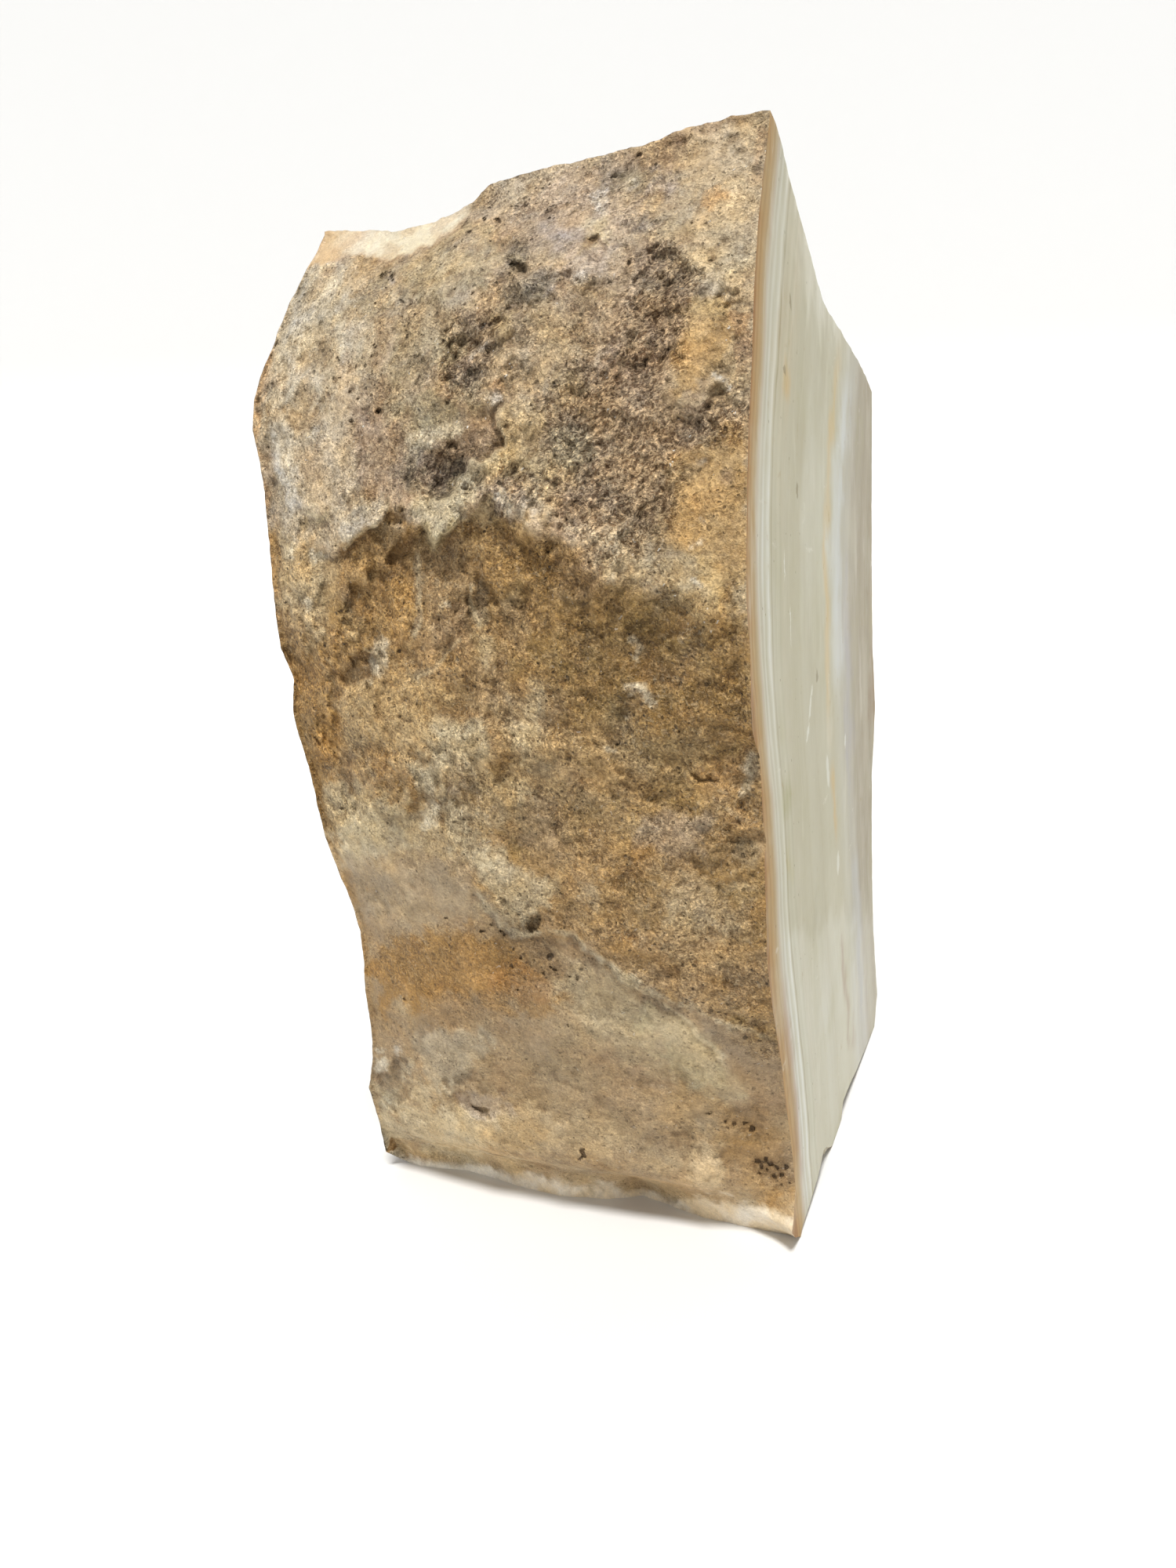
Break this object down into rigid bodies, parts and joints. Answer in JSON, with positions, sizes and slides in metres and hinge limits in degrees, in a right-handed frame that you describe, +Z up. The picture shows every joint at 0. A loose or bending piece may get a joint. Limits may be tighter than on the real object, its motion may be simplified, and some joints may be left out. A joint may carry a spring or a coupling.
{
  "type": "onyx block",
  "caption": "Rough block of banded onyx marble: one side sawn and polished, a sawn flat base, a weathered pitted rind, broken top, back and left side.",
  "frame": {"origin": "on the sawn base, under the middle of the block's box", "axes": "+X is the outward normal of the sawn, polished side; -Y faces out of the weathered rind; +Z is up, along the block's height"},
  "size_m": [0.0984, 0.1628, 0.204],
  "materials": {
    "onyx": "natural stone: rough pitted rind and broken faces, polished on the sawn side"
  },
  "bodies": {
    "root": {"onyx_block": "onyx"}
  },
  "joints": []
}
